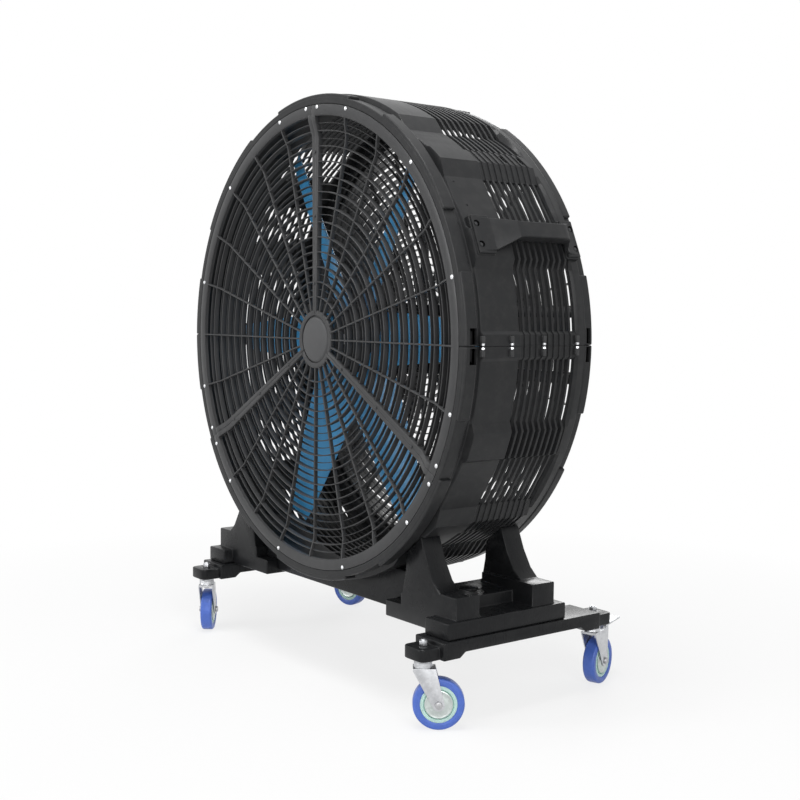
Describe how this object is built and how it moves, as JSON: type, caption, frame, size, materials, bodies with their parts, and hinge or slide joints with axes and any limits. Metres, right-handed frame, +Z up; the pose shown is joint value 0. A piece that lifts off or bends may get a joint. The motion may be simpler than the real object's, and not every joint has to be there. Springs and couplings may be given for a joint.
{
  "type": "drum fan",
  "caption": "Large mobile drum fan: slotted round housing between dished guards, bladed propeller on a rear motor, two side frames with a cross-beam, and swivel casters with brake pedals.",
  "frame": {"origin": "middle of the footprint box, on the floor under the fan", "axes": "+Z up, the front guard faces -Y, +X to the right seen from the front; the drum's axis lies along Y"},
  "size_m": [1.3294, 0.7438, 1.5584],
  "materials": {
    "moulding": "fine-textured dark grey moulded plastic",
    "grille": "dark grey moulded guard, satin",
    "base": "near-black structural plastic, fine texture",
    "blade": "blue moulded blade, semi-gloss",
    "motor": "black painted casting",
    "zinc": "zinc plated pressed steel",
    "steel": "plain steel",
    "tyre": "blue polyurethane tread",
    "core": "pale green moulded wheel core"
  },
  "bodies": {
    "base": {"drum_shell_upper": "moulding", "drum_shell_lower": "moulding", "front_guard_segment_1": "grille", "front_guard_segment_2": "grille", "front_guard_segment_3": "grille", "front_guard_plate": "grille", "front_guard_cap": "grille", "rear_guard_segment_1": "grille", "rear_guard_segment_2": "grille", "rear_guard_segment_3": "grille", "rear_guard_plate": "grille", "motor_housing": "motor", "motor_cover": "motor", "motor_plate": "steel", "motor_strut_upper": "steel", "motor_strut_lower": "steel", "handle_right": "moulding", "handle_left": "moulding", "side_frame_right": "base", "side_frame_left": "base", "caster_rail_right": "base", "caster_rail_left": "base", "cross_beam": "base", "front_right_stem": "zinc", "front_left_stem": "zinc", "rear_right_stem": "zinc", "rear_left_stem": "zinc"},
    "propeller": {"motor_shaft": "steel", "propeller_hub": "motor", "blade_1": "blade", "blade_2": "blade", "blade_3": "blade", "blade_4": "blade", "blade_5": "blade", "blade_6": "blade"},
    "front_right_swivel": {"front_right_fork": "zinc", "front_right_axle": "steel"},
    "front_right_wheel": {"front_right_tyre": "tyre", "front_right_wheel_core": "core"},
    "front_left_swivel": {"front_left_fork": "zinc", "front_left_axle": "steel"},
    "front_left_wheel": {"front_left_tyre": "tyre", "front_left_wheel_core": "core"},
    "rear_right_swivel": {"rear_right_fork": "zinc", "rear_right_axle": "steel"},
    "rear_right_wheel": {"rear_right_tyre": "tyre", "rear_right_wheel_core": "core"},
    "rear_right_pedal": {"rear_right_pedal": "steel"},
    "rear_left_swivel": {"rear_left_fork": "zinc", "rear_left_axle": "steel"},
    "rear_left_wheel": {"rear_left_tyre": "tyre", "rear_left_wheel_core": "core"},
    "rear_left_pedal": {"rear_left_pedal": "steel"}
  },
  "joints": [
    {"name": "fan_spin", "type": "hinge", "parent": "base", "child": "propeller", "pos_m": [0.00766, -0.15789, 0.91405], "axis": [0, 1, 0], "continuous": true},
    {"name": "front_right_swivel_turn", "type": "hinge", "parent": "base", "child": "front_right_swivel", "pos_m": [0.54344, -0.33789, 0.155], "axis": [0, 0, 1], "continuous": true},
    {"name": "front_right_wheel_roll", "type": "hinge", "parent": "front_right_swivel", "child": "front_right_wheel", "pos_m": [0.56647, -0.30766, 0.0625], "axis": [-0.7955, 0.606, 0], "continuous": true},
    {"name": "front_left_swivel_turn", "type": "hinge", "parent": "base", "child": "front_left_swivel", "pos_m": [-0.52812, -0.33789, 0.155], "axis": [0, 0, 1], "continuous": true},
    {"name": "front_left_wheel_roll", "type": "hinge", "parent": "front_left_swivel", "child": "front_left_wheel", "pos_m": [-0.55835, -0.31486, 0.0625], "axis": [-0.606, -0.7955, 0], "continuous": true},
    {"name": "rear_right_swivel_turn", "type": "hinge", "parent": "base", "child": "rear_right_swivel", "pos_m": [0.54344, 0.23711, 0.155], "axis": [0, 0, 1], "continuous": true},
    {"name": "rear_right_wheel_roll", "type": "hinge", "parent": "rear_right_swivel", "child": "rear_right_wheel", "pos_m": [0.53063, 0.27288, 0.0625], "axis": [-0.9415, -0.3371, 0], "continuous": true},
    {"name": "rear_right_pedal_press", "type": "hinge", "parent": "rear_right_swivel", "child": "rear_right_pedal", "pos_m": [0.52726, 0.2823, 0.156], "axis": [-0.9415, -0.3371, 0], "range_deg": [0, 12]},
    {"name": "rear_left_swivel_turn", "type": "hinge", "parent": "base", "child": "rear_left_swivel", "pos_m": [-0.52812, 0.23711, 0.155], "axis": [0, 0, 1], "continuous": true},
    {"name": "rear_left_wheel_roll", "type": "hinge", "parent": "rear_left_swivel", "child": "rear_left_wheel", "pos_m": [-0.56482, 0.22727, 0.0625], "axis": [0.2588, -0.9659, 0], "continuous": true},
    {"name": "rear_left_pedal_press", "type": "hinge", "parent": "rear_left_swivel", "child": "rear_left_pedal", "pos_m": [-0.57448, 0.22469, 0.156], "axis": [0.2588, -0.9659, 0], "range_deg": [0, 12]}
  ]
}
